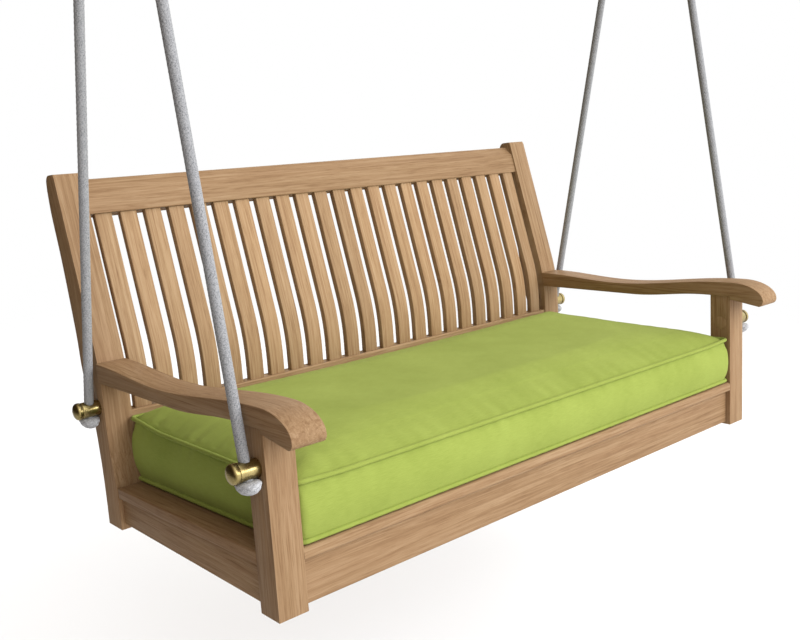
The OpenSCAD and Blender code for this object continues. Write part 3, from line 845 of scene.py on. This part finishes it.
def make_cushion():
    """The cushion with its puckers and weave, and the covered cords along its seams."""
    mesh = cushion_body()
    p = puckered(vertex_array(mesh))
    weave = cloth_directions(mesh, p)
    mesh.vertices.foreach_set("co", hang(p).ravel())
    set_attribute(mesh, "weave", "FLOAT_VECTOR", weave)
    cushion = finish_object("seat_cushion", mesh, CANVAS, "cushion", sharp=math.pi)
    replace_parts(cushion, "cushion")
    piping("cushion_piping_top", lambda xy: seam_height(xy) + PIPING_RISE)
    piping("cushion_piping_bottom", lambda xy: cushion_floor(xy[:, 1]) + PIPING_R + PIPING_RISE)


make_cushion()

# ---- Floor and light ----

FLOOR_Z = -1.50
FLOOR_HALF = 4.0
FLOOR_SOLID = 0.65
FADE_START = 0.9
FADE_END = 3.2
GLOW_FROM = (0.45, -0.71, 0.53)
GLOW_WARM = (1.0, 0.70, 0.40, 1.0)
GLOW_DIM = 0.05
GLOW_BRIGHT = 1.85
GLOW_EDGE = -0.35
WARM_END = 0.65
WHITE = (1.0, 1.0, 1.0, 1.0)
SWING_MIDDLE = (0.0, 0.0, -0.9)


def pale_material():
    """Plain pale floor with a breath of tone in it, fading into the white surround away from the swing."""
    r = Recipe("pale_floor")
    place = r.add("ShaderNodeTexCoord").outputs["Object"]
    tone = r.noise(place, 1.5, 2.0)
    r.set("Base Color", r.ramp(tone, [(0.3, (0.83, 0.845, 0.87)), (0.7, (0.85, 0.865, 0.89))]))
    r.set("Roughness", 0.95)
    r.set("Emission Color", WHITE)
    r.set("Emission Strength", 0.24)
    level = r.scaled(place, (1.0, 1.0, 0.0))
    reach = r.add("ShaderNodeVectorMath", {0: level}, operation="LENGTH").outputs["Value"]
    fade = {"From Min": FADE_START, "From Max": FADE_END, "To Min": FLOOR_SOLID, "To Max": 0.0}
    alpha = r.add("ShaderNodeMapRange", {"Value": reach, **fade}, interpolation_type="SMOOTHSTEP")
    r.set("Alpha", alpha.outputs["Result"])
    return r.material


def lay_floor():
    """One square under the swing."""
    corners = [[FLOOR_HALF * x, FLOOR_HALF * y, FLOOR_Z] for x, y in ((-1, -1), (1, -1), (1, 1), (-1, 1))]
    mesh = bpy.data.meshes.new("floor")
    mesh.from_pydata(corners, [], [[0, 1, 2, 3]])
    mesh.materials.append(pale_material())
    floor = bpy.data.objects.new("floor", mesh)
    bpy.context.scene.collection.objects.link(floor)


def soft_light(name, place, size, power):
    """A square soft light at a place, turned to face the middle of the swing."""
    lamp = bpy.data.lights.new(name, "AREA")
    lamp.shape = "SQUARE"
    lamp.size = size
    lamp.energy = power
    thing = bpy.data.objects.new(name, lamp)
    bpy.context.scene.collection.objects.link(thing)
    direction = np.subtract(SWING_MIDDLE, place)
    thing.location = place
    thing.rotation_euler = (
        math.atan2(math.hypot(direction[0], direction[1]), -direction[2]),
        0.0,
        math.atan2(direction[1], direction[0]) - math.pi / 2,
    )


def studio_world():
    """White to look at; as a light, a broad glow from the front that fades to a dim rear."""
    world = bpy.data.worlds.new("studio")
    world.use_nodes = True
    tree = world.node_tree
    tree.nodes.clear()
    direction = tree.nodes.new("ShaderNodeTexCoord").outputs["Generated"]
    seen = tree.nodes.new("ShaderNodeLightPath").outputs["Is Camera Ray"]
    dot = add_node(tree, "ShaderNodeVectorMath", {0: direction, 1: GLOW_FROM}, operation="DOT_PRODUCT")
    facing = {"Value": dot.outputs["Value"], "From Min": GLOW_EDGE}
    glow = add_node(
        tree,
        "ShaderNodeMapRange",
        {**facing, "From Max": 1.0, "To Min": GLOW_DIM, "To Max": GLOW_BRIGHT},
        interpolation_type="SMOOTHSTEP",
    ).outputs["Result"]
    strength = add_node(tree, "ShaderNodeMix", {0: seen, 2: glow, 3: 1.0}, data_type="FLOAT").outputs[0]
    span = {"From Max": WARM_END, "To Min": 1.0, "To Max": 0.0}
    warm = add_node(tree, "ShaderNodeMapRange", {**facing, **span}).outputs["Result"]
    unseen = add_node(tree, "ShaderNodeMath", {0: 1.0, 1: seen}, operation="SUBTRACT").outputs[0]
    tint = add_node(tree, "ShaderNodeMath", {0: warm, 1: unseen}, operation="MULTIPLY").outputs[0]
    shades = {"Factor": tint, 6: WHITE, 7: GLOW_WARM}
    hue = add_node(tree, "ShaderNodeMix", shades, data_type="RGBA").outputs[2]
    lamp = add_node(tree, "ShaderNodeBackground", {"Color": hue, "Strength": strength}).outputs[0]
    add_node(tree, "ShaderNodeOutputWorld", {"Surface": lamp})
    bpy.context.scene.world = world


lay_floor()
studio_world()
soft_light("front_light", (1.3, -4.2, 1.5), 3.0, 150.0)
soft_light("rear_light", (2.6, 3.4, 0.9), 3.0, 55.0)
bpy.context.scene.view_settings.view_transform = "Standard"
